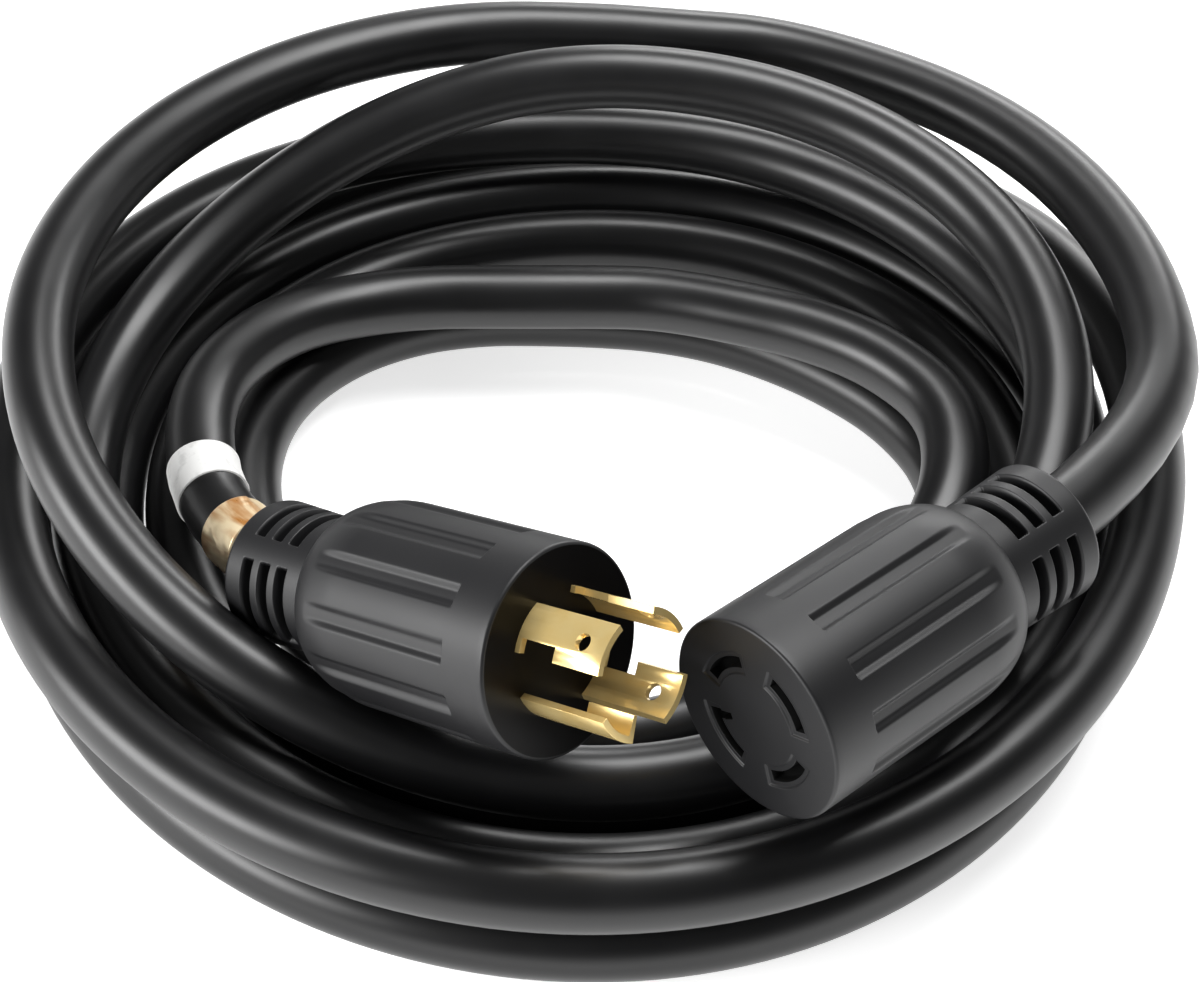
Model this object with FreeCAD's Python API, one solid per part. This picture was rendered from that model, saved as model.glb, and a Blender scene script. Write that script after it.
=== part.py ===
import FreeCAD, Part
import math
import os

# Shore power cord: a thick four-wire flexible cord laid in a loose coil, with a moulded locking plug
# on one end and a moulded locking connector on the other. All sizes are in millimetres, +Z is up,
# the coil lies on the plane z = 0 and the origin is under the middle of the whole cord.

# Cord
CORD_D = 18.0
CORE_D = 4.6
CORE_PITCH_R = 4.4
GAP_MIN = 0.4
FLOOR_CUT = 0.5
FLOOR_Z = CORD_D / 2 - FLOOR_CUT

# Middle of the coil, which puts the middle of the whole cord's box on the origin
COIL_MIDDLE = (5.45, 9.0)

# Coil: one row for each turn, from the outermost turn at the top to the innermost, with the reach and
# the height of the cord's middle at the back, the left, the front and the right of the coil
TURNS = [
    [(133.0, 57.0), (144.0, 68.0), (119.5, 26.5), (119.5, 52.5)],
    [(98.5, 67.5), (136.0, 27.5), (144.0, 25.5), (127.0, 26.5)],
    [(120.0, 29.0), (155.5, 33.0), (158.0, 38.0), (143.5, 38.0)],
    [(140.0, 9.5), (152.0, FLOOR_Z), (152.0, FLOOR_Z), (133.0, FLOOR_Z)],
    [(116.5, FLOOR_Z), (133.5, FLOOR_Z), (133.5, FLOOR_Z), (113.5, FLOOR_Z)],
    [(95.5, FLOOR_Z), (115.0, FLOOR_Z), (115.0, FLOOR_Z), (94.5, FLOOR_Z)],
    [(76.0, FLOOR_Z), (96.0, 12.5), (93.0, FLOOR_Z), (85.0, 36.0)],
    [(50.0, 26.0)],
]
QUARTERS = 4
FIRST_QUARTER = 1

# Bodies of the plug and the connector
BODY_D = 49.0
WALL = 4.5
FACE_WALL = 5.0
EDGE_R = 1.5
NECK_L = 18.0
NECK_D = 33.0
SLEEVE_END_D = 35.0
SLEEVE_L = 27.0
RIM_L = 6.0
SLOT_W = 3.0
SLOT_PITCH = 5.8
SLOT_DEPTH = 4.5
SLOT_ROWS = 3
SLOT_COLUMNS = 4
SLOT_ARC = 68.0
PLUG_BODY_L = 76.0
CONNECTOR_BODY_L = 90.0
REAR_WALL = 9.0

# Flutes along the bodies
FLUTES = 12
FLUTE_W = 4.0
FLUTE_DEPTH = 1.1
FLUTE_START = 12.5

# Locking blades, and the slots that they go into
BLADE_R = 14.0
BLADE_T = 1.6
BLADE_L = 24.0
BLADE_W = 11.5
NECK_W = 8.3
HEAD_L = 13.0
FLANGE_L = 1.3
HOLE_D = 4.0
FOOT_L = 4.5
BLADE_ROOT_L = 22.0
SURROUND_W = 1.5
SURROUND_DEPTH = 0.5
FIT = 0.2

# Reach of a cutting tool past what it cuts
PAST = 1.0

# Wire barrels, spring leaves and the inserts that hold the metal
BARREL_D = 6.2
BARREL_L = 7.0
BARREL_BORE_L = 5.0
LEAF_T = 0.8
LEAF_SETBACK = 1.0
BRIDGE_T = 1.5
PLUG_CARRIER_L = 14.0
CONTACT_DEPTH = 20.0
CORE_SEAT_L = 4.5
CORE_LEAD_L = 5.0

# Places of the plug and the connector from the coil's middle: centre of the face, direction in which
# the face looks, and turn about that direction in degrees
PLUG_FACE = (-8.5, -125.4, 83.2)
PLUG_AXIS = (0.738, -0.568, 0.364)
PLUG_TURN = 28.0
CONNECTOR_FACE = (33.5, -139.1, 76.5)
CONNECTOR_AXIS = (-0.746, -0.66, 0.086)
CONNECTOR_TURN = 55.0

# Routes of the cord between the bodies and the coil, from the coil's middle: the corners of straight
# runs, the distance of the first corner behind each sleeve, and the straight run next to the coil
CONNECTOR_BEND = 29.0
CONNECTOR_TAIL = [(146.0, 28.0, 61.0), (115.5, 88.5, 59.5)]
PLUG_BEND = 12.0
PLUG_TAIL = [(-92.0, 32.0, 33.0), (-109.5, -4.0, 37.0)]
APPROACH_L = 40.0
RUN_SHARE = 0.45

# Bands round the cord behind the plug: each begins a distance from the sleeve's end
BAND_T = 0.35
FOIL_BAND_AT = 6.5
FOIL_BAND_L = 15.0
WHITE_BAND_AT = 32.5
WHITE_BAND_L = 19.0

V = FreeCAD.Vector
UP = V(0, 0, 1)


def from_middle(x, y, z):
    """Place given from the coil's middle on the floor."""
    return V(COIL_MIDDLE[0] + x, COIL_MIDDLE[1] + y, z)


def quarter_stations():
    """Angle, reach and height of the cord's middle at every quarter turn of the coil."""
    angles = []
    reaches = []
    heights = []
    for turn, row in enumerate(TURNS):
        for quarter, (reach, height) in enumerate(row):
            angles.append(math.pi / 2 * (QUARTERS * turn + quarter + FIRST_QUARTER))
            reaches.append(reach)
            heights.append(height)
    return angles, reaches, heights


def steady_slopes(values):
    """Slope at each station for a curve that never overshoots its stations."""
    steps = [b - a for a, b in zip(values, values[1:])]
    slopes = [steps[0]]
    for before, after in zip(steps, steps[1:]):
        if before * after <= 0:
            slopes.append(0.0)
        else:
            slopes.append(2 * before * after / (before + after))
    slopes.append(steps[-1])
    return slopes


def coil_stations():
    """Places and headings of the cord's middle at every quarter turn; the last heading is level."""
    angles, reaches, heights = quarter_stations()
    reach_slopes = steady_slopes(reaches)
    height_slopes = steady_slopes(heights)
    reach_slopes[-1] = 0.0
    height_slopes[-1] = 0.0
    per_radian = 2 / math.pi
    places = []
    headings = []
    for i, a in enumerate(angles):
        c = math.cos(a)
        s = math.sin(a)
        r = reaches[i]
        places.append(from_middle(r * c, r * s, heights[i]))
        out = reach_slopes[i] * per_radian
        rise = height_slopes[i] * per_radian
        heading = V(out * c - r * s, out * s + r * c, rise)
        headings.append(heading.normalize())
    return places, headings


def arc_between(start, corner, end):
    """Arc that leaves start towards corner and reaches end coming from corner."""
    into = (start - corner).normalize()
    out = (end - corner).normalize()
    bisector = (into + out).normalize()
    half = into.getAngle(bisector)
    run = (start - corner).Length
    radius = run * math.tan(half)
    centre = corner + bisector * (run / math.cos(half))
    middle = centre - bisector * radius
    return Part.Arc(start, middle, end), radius


def biarc(p, t, q, u):
    """Two arcs from place p with heading t to place q with heading u."""
    chord = q - p
    total = t + u
    a = total.dot(total) - 4
    b = 2 * chord.dot(total)
    c = chord.dot(chord)
    reach = (b - math.sqrt(b * b - 4 * a * c)) / (2 * a)
    if reach <= 0:
        reach = (b + math.sqrt(b * b - 4 * a * c)) / (2 * a)
    first = p + t * reach
    last = q - u * reach
    joint = (first + last) * 0.5
    return [(p, first, joint), (joint, last, q)]


def tube_along(edges, diameter):
    """One solid tube of the given diameter along a chain of edges."""
    path = Part.Wire(edges)
    start = edges[0].valueAt(edges[0].FirstParameter)
    heading = edges[0].tangentAt(edges[0].FirstParameter)
    section = Part.Wire([Part.Circle(start, heading, diameter / 2).toShape()])
    return path.makePipeShell([section], True, False)


def routed_edges(points, share=RUN_SHARE):
    """Straight runs joined by arcs, each as large as its two runs allow, and the radii of the arcs."""
    edges = []
    radii = []
    last = points[0]
    for before, corner, after in zip(points, points[1:], points[2:]):
        into = before - corner
        out = after - corner
        cut = share * min(into.Length, out.Length)
        start = corner + into.normalize() * cut
        end = corner + out.normalize() * cut
        arc, radius = arc_between(start, corner, end)
        edges.append(Part.LineSegment(last, start).toShape())
        edges.append(arc.toShape())
        radii.append(radius)
        last = end
    edges.append(Part.LineSegment(last, points[-1]).toShape())
    return edges, radii


def stretch(edges, start, length):
    """The part of a chain of edges that begins a distance along it and has the given length."""
    chosen = []
    along = 0.0
    for edge in edges:
        low = max(start - along, 0.0)
        high = min(start + length - along, edge.Length)
        if high > low:
            first = edge.getParameterByLength(low)
            last = edge.getParameterByLength(high)
            chosen.append(edge.Curve.toShape(first, last))
        along += edge.Length
    return chosen


def report_tube(name, solid, edges, diameter, radii):
    """Print a tube's length, its tightest bend and its volume against section times length."""
    length = sum(edge.Length for edge in edges)
    ratio = solid.Volume / (math.pi * diameter ** 2 / 4 * length)
    print(name, "length %.0f" % length, "least radius %.1f" % min(radii), "volume ratio %.4f" % ratio)


def least_gap(edges):
    """Least gap between stretches of the coil that are more than a quarter of a turn apart."""
    samples = []
    along = 0.0
    step = 3.0
    for edge in edges:
        count = max(2, int(edge.Length / step))
        for i in range(count):
            at = edge.Length * i / count
            samples.append((along + at, edge.valueAt(edge.getParameterByLength(at))))
        along += edge.Length
    least = 1e9
    where = None
    for i, (s, p) in enumerate(samples):
        for r, q in samples[i + 1:]:
            if r - s < math.tau * CORD_D:
                continue
            distance = math.dist((p.x, p.y, p.z), (q.x, q.y, q.z))
            if distance < least:
                least = distance
                where = p
    return least - CORD_D, where


def frame_at(face, axis, turn):
    """Placement that puts a body's face at a place, its blades along a direction, turned about it."""
    z = V(*axis).normalize()
    y = (UP - z * UP.dot(z)).normalize()
    x = y.cross(z)
    matrix = FreeCAD.Matrix(x.x, y.x, z.x, 0, x.y, y.y, z.y, 0, x.z, y.z, z.z, 0, 0, 0, 0, 1)
    turned = FreeCAD.Placement(V(0, 0, 0), FreeCAD.Rotation(UP, turn))
    return FreeCAD.Placement(from_middle(*face), FreeCAD.Placement(matrix).Rotation).multiply(turned)


def revolve(points):
    """Solid of revolution about Z from (radius, z) corners."""
    corners = [V(r, 0, z) for r, z in points]
    face = Part.Face(Part.makePolygon(corners + corners[:1]))
    return face.revolve(V(0, 0, 0), UP, 360)


def sector(inner, outer, low, high, middle, spread):
    """Piece of a ring about Z between two radii, two heights and two angles in degrees."""
    start = FreeCAD.Rotation(UP, middle - spread / 2)
    p = start.multVec(V(inner, 0, low))
    q = start.multVec(V(outer, 0, low))
    face = Part.Face(Part.makePolygon([p, q, q + UP * (high - low), p + UP * (high - low), p]))
    return face.revolve(V(0, 0, 0), UP, spread)


def housing_outer(length):
    """Outer form of a moulded body: straight grip, rounded shoulder and a rear face of the neck's width."""
    radius = BODY_D / 2
    neck = NECK_D / 2
    shoulder = -(length - NECK_L)
    a = V(0, 0, 0)
    b = V(radius - EDGE_R, 0, 0)
    c = V(radius, 0, -EDGE_R)
    d = V(radius, 0, shoulder)
    tip = V(neck, 0, -length)
    e = V(0, 0, -length)
    inset = EDGE_R * (1 - math.sqrt(0.5))
    corner_mid = V(radius - inset, 0, -inset)
    rounding = Part.Ellipse(tip, d, V(neck, 0, shoulder))
    edges = [
        Part.LineSegment(a, b).toShape(),
        Part.Arc(b, corner_mid, c).toShape(),
        Part.LineSegment(c, d).toShape(),
        Part.ArcOfEllipse(rounding, 0, math.pi / 2).toShape(),
        Part.LineSegment(tip, e).toShape(),
        Part.LineSegment(e, a).toShape(),
    ]
    return Part.Face(Part.Wire(edges)).revolve(V(0, 0, 0), UP, 360)


def housing(length):
    """Moulded body: outer form, hollow inside, with a cord bore behind and shallow flutes along it."""
    body = housing_outer(length)
    radius = BODY_D / 2
    inner = radius - WALL
    shoulder = -(length - NECK_L)
    rear = -(length - REAR_WALL)
    cord = CORD_D / 2
    hollow = [(0, -FACE_WALL), (inner, -FACE_WALL), (inner, shoulder), (cord, rear), (0, rear)]
    body = body.cut(revolve(hollow))
    body = body.cut(Part.makeCylinder(cord, length, V(0, 0, -length - PAST)))
    for i in range(FLUTES):
        angle = i * 360 / FLUTES
        corner = V(radius - FLUTE_DEPTH, -FLUTE_W / 2, -FLUTE_START - length)
        flute = Part.makeBox(FLUTE_DEPTH * 2, FLUTE_W, length, corner)
        flute.rotate(V(0, 0, 0), UP, angle)
        body = body.cut(flute)
    return body


def sleeve(length):
    """Strain relief: a tube round the cord behind a body, with rows of slots that let it bend."""
    cord = CORD_D / 2
    top = -length
    end = top - SLEEVE_L
    outer = SLEEVE_END_D / 2
    shape = revolve([(cord, top), (NECK_D / 2, top), (outer, end), (cord, end)])
    first = end + RIM_L
    for row in range(SLOT_ROWS):
        low = first + row * SLOT_PITCH
        for column in range(SLOT_COLUMNS):
            angle = column * 360 / SLOT_COLUMNS
            shape = shape.cut(sector(outer - SLOT_DEPTH, outer + PAST, low, low + SLOT_W, angle, SLOT_ARC))
    return shape


def arc_degrees(width):
    """Angle that a width takes along the circle of the blades."""
    return math.degrees(width / BLADE_R)


def barrel_under(x, y, top):
    """Wire barrel, open below, that hangs from a height, and the middle of its open end."""
    end = V(x, y, top - BARREL_L)
    barrel = Part.makeCylinder(BARREL_D / 2, BARREL_L, end)
    return barrel.cut(Part.makeCylinder(CORE_D / 2 + FIT, BARREL_BORE_L, end)), end


def blade(kind, angle):
    """Curved locking blade with a hooked head, its root through the carrier and a wire barrel behind."""
    inner = BLADE_R - BLADE_T / 2
    outer = BLADE_R + BLADE_T / 2
    width = arc_degrees(BLADE_W)
    neck = arc_degrees(NECK_W)
    neck_middle = angle - width / 2 + neck / 2
    head = BLADE_L - HEAD_L
    shape = sector(inner, outer, -FACE_WALL, FLANGE_L, angle, width)
    shape = shape.fuse(sector(inner, outer, FLANGE_L, head, neck_middle, neck))
    shape = shape.fuse(sector(inner, outer, head, BLADE_L, angle, width))
    shape = shape.fuse(sector(inner, outer, -BLADE_ROOT_L, -FACE_WALL, neck_middle, neck))
    if kind == "ground":
        foot_spread = arc_degrees(BLADE_T)
        foot_angle = angle + (width - foot_spread) / 2
        shape = shape.fuse(sector(inner - FOOT_L, outer, head, BLADE_L, foot_angle, foot_spread))
    else:
        outward = FreeCAD.Rotation(UP, angle).multVec(V(1, 0, 0))
        shape = shape.cut(Part.makeCylinder(HOLE_D / 2, BLADE_R * 2, UP * (head + HEAD_L / 2), outward))
    root = FreeCAD.Rotation(UP, neck_middle).multVec(V(BLADE_R, 0, 0))
    barrel, end = barrel_under(root.x, root.y, -BLADE_ROOT_L)
    return shape.fuse(barrel).removeSplitter(), end


def slot_room(kind, angle, low, high, side):
    """Room for one blade between two heights; a ground blade's foot is at the side that is given."""
    inner = BLADE_R - BLADE_T / 2 - FIT
    outer = BLADE_R + BLADE_T / 2 + FIT
    width = arc_degrees(BLADE_W)
    room = sector(inner, outer, low, high, angle, width + 2 * arc_degrees(FIT))
    if kind == "ground":
        foot_spread = arc_degrees(BLADE_T)
        foot_angle = angle + side * (width - foot_spread) / 2
        foot_room = foot_spread + 2 * arc_degrees(FIT)
        room = room.fuse(sector(inner - FOOT_L, outer, low, high, foot_angle, foot_room))
    return room


def slot_surround(angle):
    """Shallow recess in the face round one slot."""
    inner = BLADE_R - BLADE_T / 2 - FIT - SURROUND_W
    outer = BLADE_R + BLADE_T / 2 + FIT + SURROUND_W
    width = arc_degrees(BLADE_W) + 2 * arc_degrees(FIT + SURROUND_W)
    return sector(inner, outer, -SURROUND_DEPTH, PAST, angle, width)


def carrier(angles):
    """Rigid insert of the plug behind its face that holds the blades, a close fit inside the body."""
    radius = BODY_D / 2 - WALL - FIT
    rear = -FACE_WALL - PLUG_CARRIER_L
    block = Part.makeCylinder(radius, PLUG_CARRIER_L, V(0, 0, rear))
    for angle in angles:
        block = block.cut(slot_room("flat", angle, rear - PAST, -FACE_WALL + PAST, 0))
    return block


def wire_core(barrel_end, cord_end):
    """Insulated conductor from the end of the cord's jacket into a barrel."""
    radial = V(barrel_end.x, barrel_end.y, 0).normalize()
    seat = barrel_end + UP * CORE_SEAT_L
    below = barrel_end - UP * CORE_LEAD_L
    foot = radial * CORE_PITCH_R + UP * cord_end
    above = foot + UP * CORE_LEAD_L
    edges, radii = routed_edges([seat, below, above, foot])
    return tube_along(edges, CORE_D)


def contact(angle):
    """Pair of spring leaves for one slot, joined by a bridge behind, with a wire barrel."""
    inner = BLADE_R - BLADE_T / 2 - FIT
    outer = BLADE_R + BLADE_T / 2 + FIT
    spread = arc_degrees(BLADE_W)
    low = -FACE_WALL - CONTACT_DEPTH
    shape = sector(inner - LEAF_T, inner, low, -FACE_WALL - LEAF_SETBACK, angle, spread)
    shape = shape.fuse(sector(outer, outer + LEAF_T, low, -FACE_WALL - LEAF_SETBACK, angle, spread))
    shape = shape.fuse(sector(inner - LEAF_T, outer + LEAF_T, low - BRIDGE_T, low, angle, spread))
    root = FreeCAD.Rotation(UP, angle).multVec(V(BLADE_R, 0, 0))
    barrel, end = barrel_under(root.x, root.y, low - BRIDGE_T)
    return shape.fuse(barrel).removeSplitter(), end


def contact_carrier(angles):
    """Rigid insert of the connector with a pocket for each pair of leaves."""
    radius = BODY_D / 2 - WALL - FIT
    rear = -FACE_WALL - CONTACT_DEPTH
    block = Part.makeCylinder(radius, CONTACT_DEPTH, V(0, 0, rear))
    inner = BLADE_R - BLADE_T / 2 - LEAF_T - 2 * FIT
    outer = BLADE_R + BLADE_T / 2 + LEAF_T + 2 * FIT
    spread = arc_degrees(BLADE_W) + 2 * arc_degrees(FIT)
    for kind, angle in angles.items():
        block = block.cut(sector(inner, outer, rear - PAST, -FACE_WALL + PAST, angle, spread))
        block = block.cut(slot_room(kind, angle, rear - PAST, -FACE_WALL + PAST, -1))
    return block


nodes = {}
PLUG_ANGLES = {"hot_x": 90.0, "neutral": 0.0, "hot_y": 270.0, "ground": 180.0}
SLOT_ANGLES = {pole: -angle for pole, angle in PLUG_ANGLES.items()}
CORE_COLOURS = {"hot_x": "black", "neutral": "white", "hot_y": "red", "ground": "green"}

# Plug
plug_frame = frame_at(PLUG_FACE, PLUG_AXIS, PLUG_TURN)
plug_jacket_end = -(PLUG_BODY_L - REAR_WALL)
plug_nodes = {}
plug_body = housing(PLUG_BODY_L)
for pole, angle in PLUG_ANGLES.items():
    plug_body = plug_body.cut(slot_room("flat", angle, -FACE_WALL - PAST, PAST, 0))
    metal, barrel_end = blade(pole, angle)
    plug_nodes["plug_blade_" + pole] = metal
    plug_nodes["plug_core_" + CORE_COLOURS[pole]] = wire_core(barrel_end, plug_jacket_end)
plug_nodes["plug_body"] = plug_body
plug_nodes["plug_strain_relief"] = sleeve(PLUG_BODY_L)
plug_nodes["plug_blade_carrier"] = carrier(PLUG_ANGLES.values())
for name, shape in plug_nodes.items():
    shape.Placement = plug_frame
    nodes[name] = shape

# Connector
connector_frame = frame_at(CONNECTOR_FACE, CONNECTOR_AXIS, CONNECTOR_TURN)
connector_jacket_end = -(CONNECTOR_BODY_L - REAR_WALL)
connector_nodes = {}
connector_body = housing(CONNECTOR_BODY_L)
for pole, angle in SLOT_ANGLES.items():
    connector_body = connector_body.cut(slot_surround(angle))
    connector_body = connector_body.cut(slot_room(pole, angle, -FACE_WALL - PAST, PAST, -1))
    metal, barrel_end = contact(angle)
    connector_nodes["connector_contact_" + pole] = metal
    connector_nodes["connector_core_" + CORE_COLOURS[pole]] = wire_core(barrel_end, connector_jacket_end)
connector_nodes["connector_body"] = connector_body
connector_nodes["connector_strain_relief"] = sleeve(CONNECTOR_BODY_L)
connector_nodes["connector_contact_carrier"] = contact_carrier(SLOT_ANGLES)
for name, shape in connector_nodes.items():
    shape.Placement = connector_frame
    nodes[name] = shape

# Cord between the connector and the coil
places, headings = coil_stations()
connector_cord_in = connector_frame.multVec(V(0, 0, connector_jacket_end))
connector_exit = connector_frame.multVec(V(0, 0, -(CONNECTOR_BODY_L + SLEEVE_L + CONNECTOR_BEND)))
coil_start = places[0] - headings[0] * CORD_D
connector_corners = [from_middle(*p) for p in CONNECTOR_TAIL]
approach = coil_start - headings[0] * APPROACH_L
connector_points = [connector_cord_in, connector_exit] + connector_corners + [approach, coil_start]
tail_edges, tail_radii = routed_edges(connector_points)
nodes["cord_connector_tail"] = tube_along(tail_edges, CORD_D)
report_tube("cord_connector_tail", nodes["cord_connector_tail"], tail_edges, CORD_D, tail_radii)

# Coil
coil_end = places[-1] + headings[-1] * CORD_D
coil_edges = [Part.LineSegment(coil_start, places[0]).toShape()]
coil_radii = []
for i in range(len(places) - 1):
    for start, corner, end in biarc(places[i], headings[i], places[i + 1], headings[i + 1]):
        arc, radius = arc_between(start, corner, end)
        coil_edges.append(arc.toShape())
        coil_radii.append(radius)
coil_edges.append(Part.LineSegment(places[-1], coil_end).toShape())
coil = tube_along(coil_edges, CORD_D)
report_tube("cord_coil", coil, coil_edges, CORD_D, coil_radii)
gap, where = least_gap(coil_edges)
print("least gap of the coil to itself %.2f" % gap, "wanted over %.2f" % GAP_MIN, "at", where)
whole = coil.BoundBox
floor_corner = V(whole.XMin, whole.YMin, whole.ZMin - CORD_D)
floor_block = Part.makeBox(whole.XLength, whole.YLength, CORD_D - whole.ZMin, floor_corner)
nodes["cord_coil"] = coil.cut(floor_block)

# Cord between the coil and the plug
plug_cord_in = plug_frame.multVec(V(0, 0, plug_jacket_end))
plug_exit = plug_frame.multVec(V(0, 0, -(PLUG_BODY_L + SLEEVE_L + PLUG_BEND)))
plug_corners = [from_middle(*p) for p in PLUG_TAIL]
departure = coil_end + headings[-1] * APPROACH_L
plug_points = [plug_cord_in, plug_exit] + plug_corners[::-1] + [departure, coil_end]
plug_edges, plug_radii = routed_edges(plug_points)
nodes["cord_plug_tail"] = tube_along(plug_edges, CORD_D)
report_tube("cord_plug_tail", nodes["cord_plug_tail"], plug_edges, CORD_D, plug_radii)
for name, points, radii in (("connector", connector_points, tail_radii), ("plug", plug_points, plug_radii)):
    runs = [round((b - a).Length) for a, b in zip(points, points[1:])]
    print(name, "tail radii", [round(r) for r in radii], "runs", runs)


def band(begin, length):
    """Thin ring round the cord that begins a distance behind the plug's sleeve and follows the cord."""
    chain = stretch(plug_edges, REAR_WALL + SLEEVE_L + begin, length)
    return tube_along(chain, CORD_D + 2 * BAND_T).cut(tube_along(chain, CORD_D))


nodes["white_marker_band"] = band(WHITE_BAND_AT, WHITE_BAND_L)
nodes["gold_foil_band"] = band(FOIL_BAND_AT, FOIL_BAND_L)

os.makedirs("parts", exist_ok=True)
box = FreeCAD.BoundBox()
for name, shape in nodes.items():
    shape.exportStep("parts/%s.step" % name)
    box.add(shape.optimalBoundingBox(False, False))
    print(name, "solids", len(shape.Solids), "volume %.0f" % shape.Volume, "valid", shape.isValid())
print("box", [round(v, 2) for v in (box.XMin, box.XMax, box.YMin, box.YMax, box.ZMin, box.ZMax)])

floor_reach = max(row[0][0] for row in TURNS if row[0][1] == FLOOR_Z)
print("floor_rest", tuple(from_middle(0, floor_reach, 0)))
for name, frame in (("plug", plug_frame), ("connector", connector_frame)):
    face = frame.multVec(V(0, 0, 0))
    print(name, "face", tuple(face), "axis", tuple(frame.multVec(UP) - face))
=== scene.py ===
# %% [markdown]
# # A shore power cord in a loose coil
#
# This lesson dresses a thick four-wire power cord that lies in a loose coil on a pale floor, with a
# locking plug on one end and a locking connector on the other. The construction model gives every
# rigid piece its place and size. Here each piece gets the surface that the eye sees: a soft-gloss
# flexible jacket, satin moulded bodies, bright brass blades and two bands wrapped round the cord.

# %% Load the frame
import bmesh
import bpy
import math
import mathutils
import numpy as np
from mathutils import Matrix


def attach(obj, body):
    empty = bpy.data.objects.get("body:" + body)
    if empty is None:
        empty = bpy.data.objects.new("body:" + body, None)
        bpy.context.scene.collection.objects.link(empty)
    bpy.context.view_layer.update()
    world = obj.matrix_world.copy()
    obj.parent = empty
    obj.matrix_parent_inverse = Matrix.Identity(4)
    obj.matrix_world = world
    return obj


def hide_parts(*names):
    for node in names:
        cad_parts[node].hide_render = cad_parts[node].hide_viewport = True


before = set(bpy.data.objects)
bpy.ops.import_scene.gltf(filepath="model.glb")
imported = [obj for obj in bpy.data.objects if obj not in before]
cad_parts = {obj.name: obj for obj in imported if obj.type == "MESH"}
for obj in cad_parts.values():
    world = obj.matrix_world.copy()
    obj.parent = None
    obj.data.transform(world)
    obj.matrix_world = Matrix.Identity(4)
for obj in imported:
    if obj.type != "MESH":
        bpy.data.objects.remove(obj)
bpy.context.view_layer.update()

MM = 0.001

# %% [markdown]
# ## Colours and a node helper
#
# Blender computes in linear light, while a colour is easiest to name as the hex value seen on a
# screen. One function turns the one into the other. A second small function adds a shader node with
# its settings and links, so that each material reads as a short list of steps.

# %% Colour and node helpers
def linear(hex_value):
    """Linear RGBA of an sRGB hex value such as '1A1A1B'."""
    channels = [int(hex_value[i:i + 2], 16) / 255 for i in (0, 2, 4)]
    return tuple(c / 12.92 if c <= 0.04045 else ((c + 0.055) / 1.055) ** 2.4 for c in channels) + (1.0,)


def new_material(name):
    """Material with a node tree, its tree and its shader."""
    material = bpy.data.materials.new(name)
    material.use_nodes = True
    tree = material.node_tree
    return material, tree, tree.nodes["Principled BSDF"]


def add(tree, kind, settings=None, values=None, links=None):
    """Add one node: settings are its properties, values its sockets, links (socket, output)."""
    node = tree.nodes.new(kind)
    for key, value in (settings or {}).items():
        setattr(node, key, value)
    for key, value in (values or {}).items():
        node.inputs[key].default_value = value
    for key, output in (links or {}).items():
        tree.links.new(output, node.inputs[key])
    return node


def set_shader(shader, **values):
    """Set sockets of the shader, with underscores for the spaces in their names."""
    for key, value in values.items():
        shader.inputs[key.replace("_", " ")].default_value = value


# %% [markdown]
# ## The camera
#
# The photograph looks down at the coil at 47 degrees from about 0.7 m away, with a short telephoto
# lens. The camera stands on the coil's own middle line, so that the coil fills the frame as it does
# there.

# %% Camera
COIL_MIDDLE = np.array([5.45, 9.0, 0.0])
CAMERA_TILT = math.radians(47)
CAMERA_DISTANCE = 680.0
LENS_MM = 73.5
SENSOR_MM = 36

camera_data = bpy.data.cameras.new("camera")
camera_data.lens = LENS_MM
camera_data.sensor_width = SENSOR_MM
camera = bpy.data.objects.new("camera", camera_data)
bpy.context.scene.collection.objects.link(camera)
camera_at = COIL_MIDDLE + CAMERA_DISTANCE * np.array([0, -math.cos(CAMERA_TILT), math.sin(CAMERA_TILT)])
camera.location = camera_at * MM
camera.rotation_euler = (math.pi / 2 - CAMERA_TILT, 0, 0)
bpy.context.scene.camera = camera
print("camera at", camera_at.round(1), "mm")

# %% [markdown]
# ## Meshes from arrays
#
# Every new piece is a grid of points worked out with numpy: rings of points that follow each other,
# each ring closed on itself. One function joins neighbouring rings with four-sided faces, closes
# the first and the last ring with a fan, makes sure that the faces point outwards, and gives the
# skin a UV map: U goes once round each ring and V runs from the first ring to the last.

# %% Skin over a stack of rings
def signed_volume(points, quads):
    """Volume inside four-sided faces, positive when they point outwards."""
    a, b, c, d = (points[quads[:, i]] for i in range(4))
    first = np.einsum("ij,ij->i", a, np.cross(b, c))
    second = np.einsum("ij,ij->i", a, np.cross(c, d))
    return (first.sum() + second.sum()) / 6


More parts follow.
